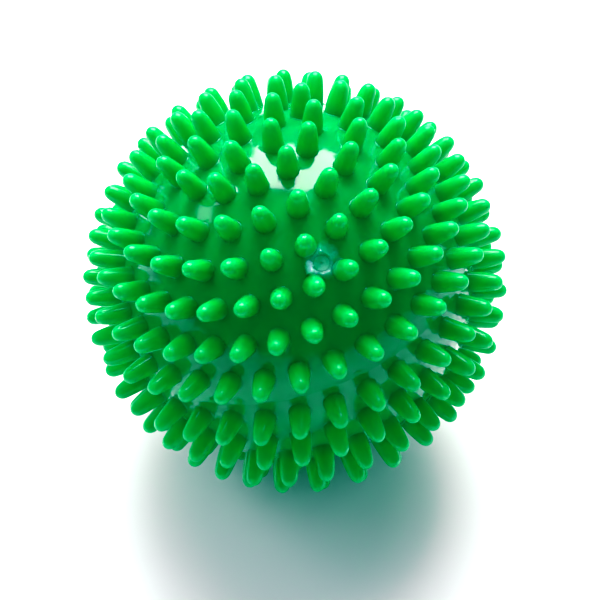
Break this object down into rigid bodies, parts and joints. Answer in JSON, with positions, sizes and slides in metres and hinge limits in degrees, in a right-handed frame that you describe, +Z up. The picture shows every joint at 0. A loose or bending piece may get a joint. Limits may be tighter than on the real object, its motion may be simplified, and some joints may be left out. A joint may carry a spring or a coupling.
{
  "type": "massage ball",
  "caption": "Hollow soft vinyl massage ball covered in blunt rounded spikes, with a small air valve and a pull-out plug set in its skin.",
  "frame": {"origin": "centre of the ball", "axes": "+Z up as the ball stands on three spike tips, with the pole of its mould leaning 18 degrees from +Z; -Y towards the side that holds the valve"},
  "size_m": [0.0997, 0.1, 0.0996],
  "materials": {
    "green_vinyl": "gloss",
    "valve_vinyl": "gloss"
  },
  "bodies": {
    "ball": {"spiked_shell": "green_vinyl", "valve_seat": "valve_vinyl"},
    "plug": {"valve_plug": "valve_vinyl"}
  },
  "joints": [
    {"name": "plug_pull", "type": "slide", "parent": "ball", "child": "plug", "axis": [0.1371, -0.6264, 0.7673], "range_m": [0, 0.02]}
  ]
}
